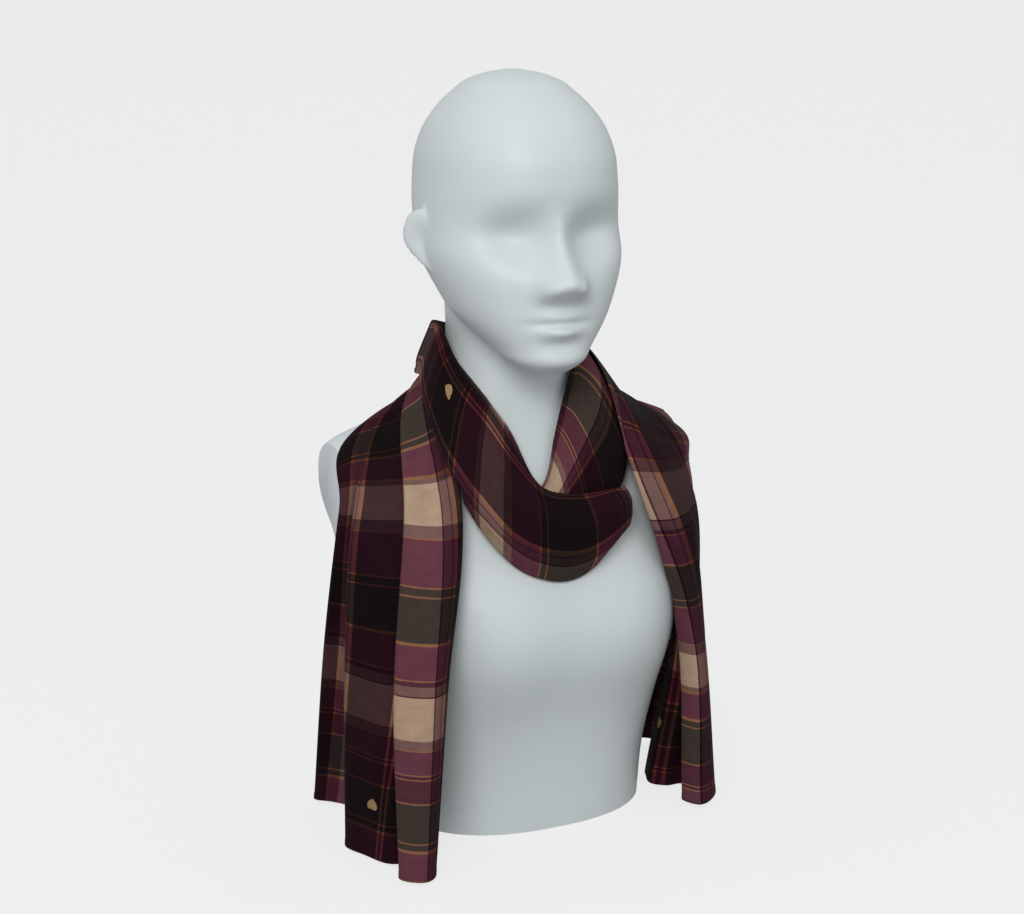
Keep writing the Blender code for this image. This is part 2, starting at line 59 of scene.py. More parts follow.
# Bust
TorsoRow = namedtuple("TorsoRow", "height half_width front back")
TORSO_ROWS = (
    TorsoRow(0.000, 0.104, -0.086, 0.080),
    TorsoRow(0.045, 0.108, -0.088, 0.083),
    TorsoRow(0.095, 0.119, -0.092, 0.088),
    TorsoRow(0.150, 0.133, -0.098, 0.093),
    TorsoRow(0.200, 0.141, -0.097, 0.095),
    TorsoRow(0.245, 0.149, -0.087, 0.093),
    TorsoRow(0.275, 0.162, -0.075, 0.086),
    TorsoRow(0.297, 0.158, -0.063, 0.078),
    TorsoRow(0.310, 0.142, -0.055, 0.071),
    TorsoRow(0.320, 0.117, -0.049, 0.066),
    TorsoRow(0.330, 0.092, -0.044, 0.062),
    TorsoRow(0.342, 0.073, -0.039, 0.059),
    TorsoRow(0.355, 0.060, -0.036, 0.060),
    TorsoRow(0.372, 0.050, -0.035, 0.064),
    TorsoRow(0.420, 0.046, -0.036, 0.068),
    TorsoRow(0.460, 0.044, -0.034, 0.066),
)
TORSO_LOW_RINGS = 40
TORSO_HIGH_RINGS = 80
TORSO_SIDES = 180
WAIST_SQUARENESS = 2.4
SHOULDER_SQUARENESS = 2.0
RING_CHANGE = 0.250
WAIST_TOP = 0.200
SHOULDER_BOTTOM = 0.270
SHOULDER_BACK = 0.013
BREAST_OUT = 0.062
BREAST_HEIGHT = 0.165
BREAST_DEPTH = 0.025
BREAST_SPREAD = 0.045
ARM_CUT = 0.147

HeadRow = namedtuple("HeadRow", "height half_width front back widest")
HEAD_ROWS = (
    HeadRow(0.3710, 0.0120, -0.0900, -0.0700, -0.0800),
    HeadRow(0.3780, 0.0270, -0.0985, -0.0450, -0.0700),
    HeadRow(0.3900, 0.0390, -0.1015, -0.0100, -0.0550),
    HeadRow(0.4100, 0.0565, -0.1030, 0.0300, -0.0350),
    HeadRow(0.4300, 0.0670, -0.1025, 0.0480, -0.0250),
    HeadRow(0.4550, 0.0755, -0.1010, 0.0730, -0.0150),
    HeadRow(0.4800, 0.0755, -0.0990, 0.0880, -0.0050),
    HeadRow(0.5100, 0.0740, -0.1030, 0.0935, 0.0000),
    HeadRow(0.5350, 0.0710, -0.0995, 0.0915, 0.0000),
    HeadRow(0.5600, 0.0600, -0.0840, 0.0755, 0.0000),
    HeadRow(0.5780, 0.0440, -0.0610, 0.0545, 0.0000),
    HeadRow(0.5880, 0.0300, -0.0410, 0.0365, 0.0000),
    HeadRow(0.5925, 0.0160, -0.0215, 0.0190, 0.0000),
    HeadRow(0.5945, 0.0040, -0.0060, 0.0050, 0.0000),
)
MOUTH_BOTTOM = 0.395
NOSE_BOTTOM = 0.428
FACE_TOP = 0.515
JAW_RINGS = 14
MOUTH_RINGS = 34
EYE_RINGS = 60
CROWN_RINGS = 44
HEAD_SIDES = 220
HEAD_FRONT_DENSITY = 0.45
HEAD_SQUARENESS = 2.3
HEAD_TURN = math.radians(-4.0)

# Soft swellings (+) and hollows (-) of the face, about its middle plane
FaceForm = namedtuple("FaceForm", "out height depth spread_x spread_z")
FACE_FORMS = (
    FaceForm(0.030, 0.4730, -0.0190, 0.0170, 0.0125),
    FaceForm(0.045, 0.4480, 0.0010, 0.0200, 0.0160),
    FaceForm(0.000, 0.4420, 0.0055, 0.0080, 0.0068),
    FaceForm(0.0130, 0.4368, 0.0098, 0.0050, 0.0055),
    FaceForm(0.000, 0.4160, 0.0060, 0.0112, 0.0042),
    FaceForm(0.000, 0.4105, -0.0068, 0.0135, 0.0017),
    FaceForm(0.000, 0.4042, 0.0098, 0.0102, 0.0047),
    FaceForm(0.000, 0.3945, -0.0045, 0.0120, 0.0050),
    FaceForm(0.000, 0.3820, 0.0050, 0.0150, 0.0090),
)
NOSE_ROOT = 0.491
NOSE_TIP = 0.4425
NOSE_BASE = 0.4325
NOSE_ROOT_DEPTH = 0.0035
NOSE_TIP_DEPTH = 0.0195
NOSE_ROOT_SPREAD = 0.0085
NOSE_TIP_SPREAD = 0.0102
NOSE_ROOT_FADE = 0.008
NOSE_BASE_FADE = 0.009
NOSE_CURVE = 1.3
EAR_CENTRE = Vector((0.0765, -0.0115, 0.4625))
EAR_HALF_SIZE = Vector((0.0070, 0.0190, 0.0285))
EAR_LEAN = math.radians(-18.0)
EAR_FLARE = math.radians(-38.0)

# Scarf. Angles go round the neck from the front, positive towards the bust's right
CLOTH_WALL = 0.0012
LAYER_GAP = 0.0018
RESTING_GAP = 0.0005
SEAM_GAP = 0.0003
NECK_AXIS_Y = 0.015
HEM_HEIGHT = 0.004
WAIST_HEIGHT = 0.150
CHEST_HEIGHT = 0.270
CREST_Y = 0.010
NAPE_ANGLE = math.radians(130.0)

# Each section of a band: radius and height of its lines, from the neck side to the hem
BandRow = namedtuple(
    "BandRow",
    "angle flat neck_r neck_z ridge_r ridge_z face_r face_z edge_r edge_z roll_r roll_z hem_r hem_z",
)
LEFT_BAND_ROWS = (
    BandRow(-30, 12, .112, .272, .114, .276, .117, .271, .117, .263, .115, .257, .112, .252),
    BandRow(-26, 24, .115, .271, .120, .277, .127, .270, .128, .257, .125, .250, .118, .245),
    BandRow(-19, 44, .114, .269, .120, .278, .131, .268, .133, .252, .130, .243, .122, .237),
    BandRow(-10, 66, .111, .269, .117, .277, .131, .262, .134, .243, .132, .232, .124, .222),
    BandRow(0, 88, .105, .271, .115, .278, .132, .260, .135, .238, .132, .225, .123, .213),
    BandRow(10, 107, .098, .284, .112, .284, .131, .266, .135, .241, .132, .227, .124, .215),
    BandRow(20, 141, .081, .318, .103, .307, .127, .283, .135, .252, .133, .239, .125, .226),
    BandRow(33, 188, .071, .341, .091, .340, .115, .317, .131, .283, .131, .271, .123, .256),
    BandRow(45, 224, .066, .356, .083, .360, .104, .345, .122, .313, .121, .303, .112, .292),
    BandRow(58, 254, .061, .367, .073, .376, .089, .368, .103, .342, .102, .332, .097, .326),
    BandRow(72, 286, .056, .376, .063, .389, .073, .380, .085, .356, .086, .348, .085, .342),
    BandRow(88, 315, .053, .384, .058, .397, .063, .390, .072, .369, .073, .362, .074, .357),
    BandRow(103, 338, .053, .385, .057, .397, .062, .388, .070, .368, .071, .361, .072, .356),
)
RIGHT_BAND_ROWS = (
    BandRow(14, 356, .098, .271, .103, .269, .106, .265, .108, .260, .109, .256, .110, .250),
    BandRow(5, 329, .092, .284, .100, .279, .105, .272, .109, .263, .111, .255, .112, .247),
    BandRow(-6, 287, .076, .314, .088, .306, .098, .294, .106, .279, .110, .267, .112, .254),
    BandRow(-18, 257, .066, .336, .079, .330, .092, .316, .103, .297, .110, .281, .113, .264),
    BandRow(-30, 233, .061, .352, .073, .349, .088, .334, .101, .311, .109, .293, .112, .276),
    BandRow(-45, 213, .057, .364, .066, .365, .080, .353, .093, .333, .101, .317, .104, .304),
    BandRow(-65, 192, .054, .372, .059, .377, .069, .368, .080, .351, .085, .340, .087, .331),
    BandRow(-88, 172, .052, .379, .055, .386, .060, .380, .067, .363, .071, .352, .075, .342),
    BandRow(-103, 160, .052, .380, .055, .387, .059, .381, .065, .363, .070, .352, .074, .341),
)

# Each fold of a tail, from its edge near the face: places at hem, waist, chest and shoulder top
FoldRow = namedtuple(
    "FoldRow",
    "name hem_flat waist_flat chest_flat hem_x hem_y waist_x waist_y chest_x chest_y crest_x crest_z",
)
RIGHT_TAIL_ROWS = (
    FoldRow("inner_edge", 98, 98, 98, -.112, -.070, -.116, -.082, -.092, -.070, -.060, .357),
    FoldRow("inner_wave", 78, 78, 78, -.121, -.088, -.112, -.100, -.086, -.076, -.057, .361),
    FoldRow("front_right", 56, 56, 56, -.123, -.127, -.109, -.122, -.083, -.089, -.059, .367),
    FoldRow("front_middle", 30, 30, 30, -.136, -.140, -.127, -.137, -.104, -.098, -.074, .352),
    FoldRow("front_left", 2, 2, 2, -.151, -.124, -.150, -.117, -.126, -.081, -.088, .340),
    FoldRow("first_pocket", -4, -16, -16, -.129, -.106, -.131, -.104, -.109, -.080, -.078, .3385),
    FoldRow("side_right", -14, -34, -34, -.148, -.100, -.147, -.096, -.124, -.072, -.086, .3340),
    FoldRow("side_middle", -38, -56, -56, -.160, -.078, -.159, -.074, -.142, -.064, -.098, .3310),
    FoldRow("side_left", -60, -76, -76, -.168, -.053, -.165, -.052, -.156, -.054, -.109, .3285),
    FoldRow("second_pocket", -84, -98, -98, -.134, -.030, -.140, -.036, -.141, -.049, -.100, .3275),
    FoldRow("outer_right", -100, -112, -112, -.138, .012, -.144, -.008, -.150, -.043, -.108, .3265),
    FoldRow("outer_middle", -116, -122, -122, -.150, .029, -.150, .006, -.158, -.044, -.122, .3240),
    FoldRow("outer_left", -130, -132, -132, -.161, .041, -.158, .014, -.162, -.039, -.134, .3160),
    FoldRow("outer_back", -146, -146, -146, -.149, .056, -.149, .028, -.156, -.037, -.131, .3130),
    FoldRow("outer_edge", -160, -160, -160, -.126, .060, -.140, .036, -.150, -.036, -.127, .3150),
)
LEFT_TAIL_ROWS = (
    FoldRow("inner_edge", -50, -50, -44, .114, -.026, .130, -.038, .083, -.0745, .060, .361),
    FoldRow("inner_left", -29, -29, -28, .107, -.049, .122, -.060, .086, -.0770, .063, .364),
    FoldRow("inner_front", -22, -22, -18, .116, -.058, .126, -.068, .093, -.0775, .067, .359),
    FoldRow("inner_right", -16, -16, -8, .130, -.060, .134, -.070, .102, -.0760, .074, .349),
    FoldRow("first_pocket", -12, -12, 4, .139, -.070, .138, -.076, .108, -.0800, .075, .353),
    FoldRow("front_return", 4, 4, 16, .125, -.081, .122, -.082, .092, -.0860, .064, .373),
    FoldRow("front_left", 18, 18, 26, .114, -.090, .106, -.088, .068, -.0930, .058, .384),
    FoldRow("front_middle", 30, 30, 38, .121, -.104, .112, -.101, .080, -.1010, .066, .376),
    FoldRow("front_right", 44, 44, 54, .142, -.093, .127, -.094, .100, -.0950, .080, .353),
    FoldRow("side_front", 64, 64, 69, .156, -.068, .137, -.074, .113, -.0840, .094, .338),
    FoldRow("side_middle", 88, 88, 86, .164, -.044, .147, -.050, .127, -.0690, .109, .3280),
    FoldRow("second_pocket", 100, 100, 93, .147, -.030, .146, -.038, .125, -.0620, .104, .3250),
    FoldRow("outer_right", 124, 124, 103, .151, -.002, .152, -.012, .134, -.0540, .113, .3215),
    FoldRow("outer_middle", 143, 143, 116, .163, .022, .160, .006, .142, -.0430, .127, .3160),
    FoldRow("outer_left", 162, 162, 130, .151, .044, .153, .026, .148, -.0290, .138, .3080),
    FoldRow("outer_edge", 180, 180, 140, .129, .050, .137, .034, .149, -.0200, .140, .2990),
)
NAPE_TOP = 0.380
NAPE_BOTTOM = 0.336
NAPE_WAVE = 0.0012
NAPE_WAVES = 3.5
INNER_NAPE_RADIUS = 0.0505
OUTER_NAPE_RADIUS = 0.0575
NAPE_SPREAD = 0.0130
NAPE_SPREAD_CURVE = 1.5
CLEARING_TURNS = 4
LAST_FIRM_TURNS = 2
LAYER_REACH = 0.050

# Cloth in the render. Flat places are in millimetres of the unfolded strip
MM = 0.001
HEM_THICKNESS = 0.0014
PLAIN_SHARE = 0.60
HEM_WIDTH = 0.0040
TAIL_STEPS = (150, 10)
LEFT_BAND_STEPS = (170, 90)
RIGHT_BAND_STEPS = (120, 70)
NAPE_STEPS = (80, 70)
RIGHT_HEM_CHART = 192.3
LEFT_HEM_CHART = 289.0
LEFT_BAND_PLACES = (230.0, 201.0, 178.0, 155.0, 140.0, 118.0)
LEFT_COLLAR_PLACES = (224.0, 209.0, 189.0, 152.0, 149.0, 146.0)
RIGHT_BAND_PLACES = (-6.0, 8.0, 28.0, 50.0, 68.0, 85.0)
COLLAR_START = math.radians(15.0)
COLLAR_FULL = math.radians(55.0)
INNER_NAPE_CHART = (160.0, 97.0)
OUTER_NAPE_CHART = (338.0, 427.0)
Shown = namedtuple("Shown", "width length held hem_end")
Stretch = namedtuple("Stretch", "node grid flat beneath shown")
Crease = namedtuple(
    "Crease", "stretch from_along from_across to_along to_across half_width depth"
)
CREASES = (
    Crease("tail_right", 0.35, 0.20, 0.80, 0.14, 0.006, -0.0012),
    Crease("tail_left", 0.40, 0.70, 0.85, 0.62, 0.008, -0.0014),
    Crease("loop_left_band", 0.25, 0.42, 0.75, 0.30, 0.008, -0.0012),
)

# Plaid. A stripe runs from its start, in metres, to the next one
Stripe = namedtuple("Stripe", "start yarn")
YARNS = {
    "light": (0.632, 0.523, 0.434),
    "rose": (0.270, 0.175, 0.184),
    "plum": (0.193, 0.0745, 0.127),
    "deep": (0.135, 0.050, 0.085),
    "black": (0.080, 0.070, 0.069),
    "night": (0.076, 0.046, 0.054),
    "dusk": (0.088, 0.044, 0.060),
    "rust": (0.380, 0.200, 0.128),
}
WEFT_PERIOD = 0.304
WEFT_STRIPES = (
    Stripe(0.0000, "light"),
    Stripe(0.0315, "deep"),
    Stripe(0.0330, "rose"),
    Stripe(0.0400, "deep"),
    Stripe(0.0430, "rust"),
    Stripe(0.0450, "plum"),
    Stripe(0.0710, "rust"),
    Stripe(0.0728, "black"),
    Stripe(0.1072, "rust"),
    Stripe(0.1088, "black"),
    Stripe(0.1142, "rust"),
    Stripe(0.1158, "plum"),
    Stripe(0.1490, "rust"),
    Stripe(0.1506, "rose"),
    Stripe(0.1585, "light"),
    Stripe(0.1875, "rose"),
    Stripe(0.1908, "rust"),
    Stripe(0.1924, "plum"),
    Stripe(0.2148, "rust"),
    Stripe(0.2164, "black"),
    Stripe(0.2214, "rust"),
    Stripe(0.2230, "black"),
    Stripe(0.2532, "rust"),
    Stripe(0.2548, "deep"),
    Stripe(0.2722, "rust"),
    Stripe(0.2738, "deep"),
    Stripe(0.2762, "rust"),
    Stripe(0.2778, "plum"),
    Stripe(0.2952, "rust"),
    Stripe(0.2968, "rose"),
)
WARP_PERIOD = 0.112
WARP_STRIPES = (
    Stripe(0.0000, "light"),
    Stripe(0.0310, "deep"),
    Stripe(0.0322, "rose"),
    Stripe(0.0390, "deep"),
    Stripe(0.0402, "rose"),
    Stripe(0.0420, "rust"),
    Stripe(0.0450, "night"),
    Stripe(0.0690, "dusk"),
    Stripe(0.0830, "rust"),
    Stripe(0.0845, "deep"),
    Stripe(0.0875, "rust"),
    Stripe(0.0890, "dusk"),
    Stripe(0.1030, "rust"),
    Stripe(0.1048, "rose"),
)
HEART_ACROSS = 0.188
HEART_ALONG = 0.238
HEART_SIZE = 0.0042
HEART_REPEATS = 2.0
HEART_COLOUR = (0.290, 0.190, 0.085, 1.0)
STRIPE_WANDER = 0.0012
SCARF_ROUGHNESS = 0.80
SCARF_GLOSS = 0.05
SHEEN = 0.012
SHEEN_ROUGHNESS = 0.55
SHEEN_TINT = (0.75, 0.62, 0.62, 1.0)
CREASE_END_SHARE = 0.35
Grain = namedtuple("Grain", "scale detail roughness")
WANDER_GRAIN = Grain(620.0, 3.0, 0.75)
SLUB_GRAIN = Grain(1400.0, 2.0, 0.7)
CLOUD_GRAIN = Grain(90.0, 4.0, 0.65)
SLUB_STRETCH = 0.02
SLUB_SHARE = 0.30
CLOUD_SHARE = 0.9
CLOUD_HEIGHT = 1.2
UNEVEN_RANGE = (0.45, 1.05)
TONE_RANGE = (0.82, 1.20)
WEAVE_SCALE = 250.0
WEAVE_DISTORTION = 0.6
WEAVE_DETAIL_SCALE = 2.0
SCARF_BUMP_STRENGTH = 0.25
SCARF_BUMP_DEPTH = 0.0003

# Bust in the render
BASE_EXTRA = 0.010
SKIN_VOXEL = 0.0020
SKIN_SMOOTHING = 4
SKIN_SOFTNESS = 0.5
SKIN_CORNER = math.radians(50.0)
EAR_SIDES = 64
EAR_RINGS = 40
EAR_WIDEST = 0.45
EAR_TAPER = 0.72
EAR_TAPER_CURVE = 1.5
EAR_LOBE_FORWARD = 0.35
EAR_DISH = 1.25
EAR_DISH_SHARPNESS = 2.5
BUST_TINT = (0.660, 0.710, 0.715, 1.0)
BUST_SHADE = (0.640, 0.690, 0.697, 1.0)
BUST_ROUGHNESS = 0.42
BUST_ROUGHNESS_RANGE = 0.10
BUST_GLOSS = 0.35
BUST_CLOUD_GRAIN = Grain(18.0, 3.0, 0.5)
BUST_MOULD_GRAIN = Grain(1400.0, 2.0, 0.6)
BUST_BUMP_STRENGTH = 0.10
BUST_BUMP_DEPTH = 0.0002

# Stage
STAGE_COLOUR = (0.12, 0.12, 0.12)
STAGE_GLOW = 0.76
STAGE_ROUGHNESS = 0.9
GLOW_COLOUR = (1.0, 1.0, 1.0, 1.0)
SWEEP_FRONT = -6.0
SWEEP_BACK = 3.0
SWEEP_CURVE = 1.5
SWEEP_CURVE_STEPS = 12
SWEEP_TOP = 6.0
SWEEP_HALF_WIDTH = 8.0
SKY_BELOW = 0.32
SKY_ABOVE = 0.68
SKY_TINT = (0.97, 0.99, 1.0, 1.0)
Lamp = namedtuple("Lamp", "name place target size power colour")
LAMPS = (
    Lamp("key", (-1.35, -1.95, 1.70), (0.0, 0.0, 0.33), 1.2, 32.0, (1.0, 1.0, 1.0)),
)

# Camera
CAMERA_PLACE = (-0.6043, -1.2960, 0.6170)
CAMERA_TURN = (math.radians(77.0), 0.0, math.radians(-25.0))
CAMERA_LENS = 63.74
CAMERA_SENSOR = 36.0
CAMERA_FAR = 100.0


def plain(values):
    """Plain lists of numbers from any nested vectors."""
    if hasattr(values, "__len__"):
        return [plain(value) for value in values]
    return float(values)


def blend_through(knots, values, at):
    """Read a smooth curve through values, given at rising knots, at each place in at."""
    knots = np.asarray(knots, float)
    values = np.asarray(values, float)
    values = values.reshape(len(knots), -1)
    at = np.atleast_1d(np.asarray(at, float))
    steps = np.diff(knots)
    slopes = np.diff(values, axis=0) / steps[:, None]
    tangents = np.empty_like(values)
    tangents[0] = slopes[0]
    tangents[-1] = slopes[-1]
    weights = (steps[1:] / (steps[:-1] + steps[1:]))[:, None]
    tangents[1:-1] = weights * slopes[:-1] + (1.0 - weights) * slopes[1:]
    index = np.clip(np.searchsorted(knots, at, side="right") - 1, 0, len(knots) - 2)
    share = ((at - knots[index]) / steps[index])[:, None]
    step = steps[index][:, None]
    rise = share * share * (3.0 - 2.0 * share)
    start = share * (1.0 - share) ** 2
    end = -share * share * (1.0 - share)
    between = values[index] * (1.0 - rise) + values[index + 1] * rise
    return between + step * (start * tangents[index] + end * tangents[index + 1])


def torso_rings():
    """Level rings from the cut waist, over the chest and shoulders, up into the head."""
    heights = [row.height for row in TORSO_ROWS]
    sizes = [(row.half_width, row.front, row.back) for row in TORSO_ROWS]
    lower = np.linspace(0.0, RING_CHANGE, TORSO_LOW_RINGS, endpoint=False)
    upper = np.linspace(RING_CHANGE, heights[-1], TORSO_HIGH_RINGS)
    rings = []
    for height in np.concatenate((lower, upper)):
        half_width, front, back = blend_through(heights, sizes, height)[0]
        rise = min(max((height - WAIST_TOP) / (SHOULDER_BOTTOM - WAIST_TOP), 0.0), 1.0)
        power = WAIST_SQUARENESS + (SHOULDER_SQUARENESS - WAIST_SQUARENESS) * rise
        middle = 0.5 * (front + back)
        reach = 0.5 * (back - front)
        ring = []
        for side in range(TORSO_SIDES):
            angle = 2.0 * math.pi * side / TORSO_SIDES
            across = math.copysign(abs(math.sin(angle)) ** (2.0 / power), math.sin(angle))
            along = math.copysign(abs(math.cos(angle)) ** (2.0 / power), math.cos(angle))
            x = half_width * across
            y = middle - reach * along
            y += SHOULDER_BACK * rise * (abs(x) / ARM_CUT) ** 2
            if along > 0.0:
                up = (height - BREAST_HEIGHT) ** 2
                for out in (-BREAST_OUT, BREAST_OUT):
                    away = (x - out) ** 2 + up
                    y -= BREAST_DEPTH * math.exp(-away / (2.0 * BREAST_SPREAD ** 2)) * along
            ring.append((x, y, height))
        rings.append(ring)
    return rings


def face_depth(x, height):
    """How far the face stands out before the plain head at one place."""
    depth = 0.0
    for form in FACE_FORMS:
        across = (abs(x) - form.out) / form.spread_x
        up = (height - form.height) / form.spread_z
        depth += form.depth * math.exp(-0.5 * (across * across + up * up))
    low = NOSE_BASE - NOSE_BASE_FADE
    high = NOSE_ROOT + NOSE_ROOT_FADE
    if low < height < high:
        down = min(max((NOSE_ROOT - height) / (NOSE_ROOT - NOSE_TIP), 0.0), 1.0)
        ridge = NOSE_ROOT_DEPTH + (NOSE_TIP_DEPTH - NOSE_ROOT_DEPTH) * down ** NOSE_CURVE
        spread = NOSE_ROOT_SPREAD + (NOSE_TIP_SPREAD - NOSE_ROOT_SPREAD) * down
        under = min((height - low) / (NOSE_TIP - low), 1.0)
        root = min((high - height) / (2.0 * NOSE_ROOT_FADE), 1.0)
        shape = math.sin(0.5 * math.pi * under) * root
        depth += ridge * shape * math.exp(-0.5 * (x / spread) ** 2)
    return depth


def head_rings():
    """Level rings from the chin to the crown, with the face raised on their fronts."""
    heights = [row.height for row in HEAD_ROWS]
    sizes = [(row.half_width, row.front, row.back, row.widest) for row in HEAD_ROWS]
    crown_turns = np.linspace(0.0, 0.5 * math.pi, CROWN_RINGS)
    levels = np.concatenate((
        np.linspace(heights[0], MOUTH_BOTTOM, JAW_RINGS, endpoint=False),
        np.linspace(MOUTH_BOTTOM, NOSE_BOTTOM, MOUTH_RINGS, endpoint=False),
        np.linspace(NOSE_BOTTOM, FACE_TOP, EYE_RINGS, endpoint=False),
        FACE_TOP + (heights[-1] - FACE_TOP) * np.sin(crown_turns),
    ))
    rings = []
    for height in levels:
        half_width, front, back, widest = blend_through(heights, sizes, height)[0]
        ring = []
        for side in range(HEAD_SIDES):
            turn = 2.0 * math.pi * side / HEAD_SIDES
            angle = turn - HEAD_FRONT_DENSITY * math.sin(turn)
            along = abs(math.cos(angle)) ** (2.0 / HEAD_SQUARENESS)
            across = abs(math.sin(angle)) ** (2.0 / HEAD_SQUARENESS)
            x = half_width * math.copysign(across, math.sin(angle))
            if math.cos(angle) > 0.0:
                y = widest + (front - widest) * along
                y -= face_depth(x, height) * min(2.0 * along, 1.0)
            else:
                y = widest + (back - widest) * along
            ring.append((x, y, height))
        rings.append(ring)
    return rings


def polar_point(angle, radius, height):
    """Point on a half plane through the neck's axis."""
    return (-radius * math.sin(angle), NECK_AXIS_Y - radius * math.cos(angle), height)


def band_grid(rows, length_steps, width_steps):
    """Points of a band that runs round the neck: one row for each step along it."""
    angles = [row.angle for row in rows]
    order = 1.0 if angles[-1] > angles[0] else -1.0
    knots = [order * angle for angle in angles]
    steps_at = np.linspace(knots[0], knots[-1], length_steps + 1)
    values = blend_through(knots, [row[2:] for row in rows], steps_at)
    across = np.linspace(0.0, 1.0, width_steps + 1)
    lines = np.linspace(0.0, 1.0, values.shape[1] // 2)
    grid = []
    for angle, value in zip(steps_at, values):
        section = blend_through(lines, value.reshape(-1, 2), across)
        turn = math.radians(order * angle)
        grid.append([polar_point(turn, radius, height) for radius, height in section])
    return np.array(grid)


def nape_section(radius, shares):
    """Radius and height of the gathered cloth behind the neck, from its top to its bottom."""
    waves = NAPE_WAVE * np.cos(2.0 * math.pi * NAPE_WAVES * shares)
    radii = radius + NAPE_SPREAD * shares ** NAPE_SPREAD_CURVE + waves
    heights = NAPE_TOP + (NAPE_BOTTOM - NAPE_TOP) * shares
    return np.column_stack((radii, heights))


def nape_grid(start_row, radius, side, length_steps, width_steps):
    """Points of a stretch round the nape, from the end of a band to the start of a tail."""
    shares = np.linspace(0.0, 1.0, width_steps + 1)
    start = np.array(start_row[2:]).reshape(-1, 2)
    first = blend_through(np.linspace(0.0, 1.0, len(start)), start, shares)
    last = nape_section(radius, shares)
    seam = SEAM_GAP / radius
    start_turn = math.radians(start_row.angle) - side * seam
    end_turn = side * (NAPE_ANGLE - 2.0 * math.pi) + side * seam
    grid = []
    for share in np.linspace(0.0, 1.0, length_steps + 1):
        turn = start_turn + (end_turn - start_turn) * share
        blend = share * share * (3.0 - 2.0 * share)
        section = first + (last - first) * blend
        grid.append([polar_point(turn, reach, height) for reach, height in section])
    return np.array(grid)


def tail_grid(rows, side, nape_radius, length_steps, steps_per_fold):
    """Points of a hanging tail, from its hem over the shoulder to the nape."""
    stations = np.array((
        [(row.hem_x, row.hem_y, HEM_HEIGHT) for row in rows],
        [(row.waist_x, row.waist_y, WAIST_HEIGHT) for row in rows],
        [(row.chest_x, row.chest_y, CHEST_HEIGHT) for row in rows],
        [(row.crest_x, CREST_Y, row.crest_z) for row in rows],
        [polar_point(side * NAPE_ANGLE, reach, height)
         for reach, height in nape_section(nape_radius, np.linspace(0.0, 1.0, len(rows)))],
    ))
    folds = np.linalg.norm(np.diff(stations, axis=1), axis=2).mean(axis=0)
    fold_knots = np.concatenate(([0.0], np.cumsum(folds)))
    fold_knots /= fold_knots[-1]
    spans = np.linalg.norm(np.diff(stations, axis=0), axis=2).mean(axis=1)
    length_knots = np.concatenate(([0.0], np.cumsum(spans)))
    lengths = np.linspace(0.0, length_knots[-1], length_steps + 1)
    shape = (len(lengths), len(rows), 3)
    runs = blend_through(length_knots, stations, lengths).reshape(shape)
    steps = np.linspace(0.0, len(rows) - 1.0, (len(rows) - 1) * steps_per_fold + 1)
    across = np.interp(steps, np.arange(len(rows)), fold_knots)
    return np.array([blend_through(fold_knots, run, across) for run in runs])


def clear_shift(place, near, bust_tree, layer_trees):
    """How far one point must move to stand clear of the bust and of the layers beneath."""
    point = Vector(place)
    surface, normal, _, _ = bust_tree.find_nearest(point)
    height = (point - surface).dot(normal)
    away = normal if height < near else (point - surface).normalized()
    if height < near:
        point += normal * (near - height)
    for tree in layer_trees:
        hit, _, _, _ = tree.ray_cast(point, away, LAYER_REACH)
        while hit is not None:
            point = hit + away * near
            hit, _, _, _ = tree.ray_cast(point, away, LAYER_REACH)
        surface, _, _, distance = tree.find_nearest(point)
        if distance < near:
            point += (point - surface).normalized() * (near - distance)
    return np.array(point) - place


def stand_clear(grid, gap, bust_tree, layer_trees):
    """Move a grid clear of the bust and the layers beneath. Its own folds aren't held apart."""
    near = 0.5 * CLOTH_WALL + gap
    moved = grid.copy()
    for turn in range(CLEARING_TURNS):
        for index in np.ndindex(moved.shape[:2]):
            moved[index] += clear_shift(moved[index], near, bust_tree, layer_trees)
        for row, column in np.ndindex(moved.shape[0] - 1, moved.shape[1] - 1):
            face = moved[row:row + 2, column:column + 2]
            face += clear_shift(face.mean(axis=(0, 1)), near, bust_tree, layer_trees)
        if turn < CLEARING_TURNS - LAST_FIRM_TURNS:
            offset = moved - grid
            soft = offset.copy()
            soft[1:-1] = 0.5 * offset[1:-1] + 0.25 * (offset[:-2] + offset[2:])
            soft[:, 1:-1] = 0.5 * soft[:, 1:-1] + 0.25 * (soft[:, :-2] + soft[:, 2:])
            moved = grid + soft
    return moved


def ride_with_slot(piece):
    """Ride a piece on the part's one body."""
    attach(piece, "root")


def linked_mesh(name, corners, faces):
    """Object with smooth faces from plain lists, in the scene's own collection."""
    mesh = bpy.data.meshes.new(name)
    mesh.from_pydata([tuple(corner) for corner in corners], [], faces)
    mesh.shade_smooth()
    made = bpy.data.objects.new(name, mesh)
    bpy.context.scene.collection.objects.link(made)
    return made


def ring_loft(name, rings):
    """Closed skin through rings of equal point counts, listed from the bottom up."""
    count = len(rings[0])
    corners = [point for ring in rings for point in ring]
    faces = []
    for level in range(len(rings) - 1):
        for side in range(count):
            after = (side + 1) % count
            low = level * count
            high = low + count
            faces.append((low + side, low + after, high + after, high + side))
    top = (len(rings) - 1) * count
    faces.append(tuple(reversed(range(count))))
    faces.append(tuple(range(top, top + count)))
    return linked_mesh(name, corners, faces)


def apply_modifiers(piece):
    """Keep a piece's finished shape and drop the modifiers that made it."""
    bpy.context.view_layer.update()
    graph = bpy.context.evaluated_depsgraph_get()
    finished = bpy.data.meshes.new_from_object(piece.evaluated_get(graph))
    old = piece.data
    piece.modifiers.clear()
    piece.data = finished
    bpy.data.meshes.remove(old)


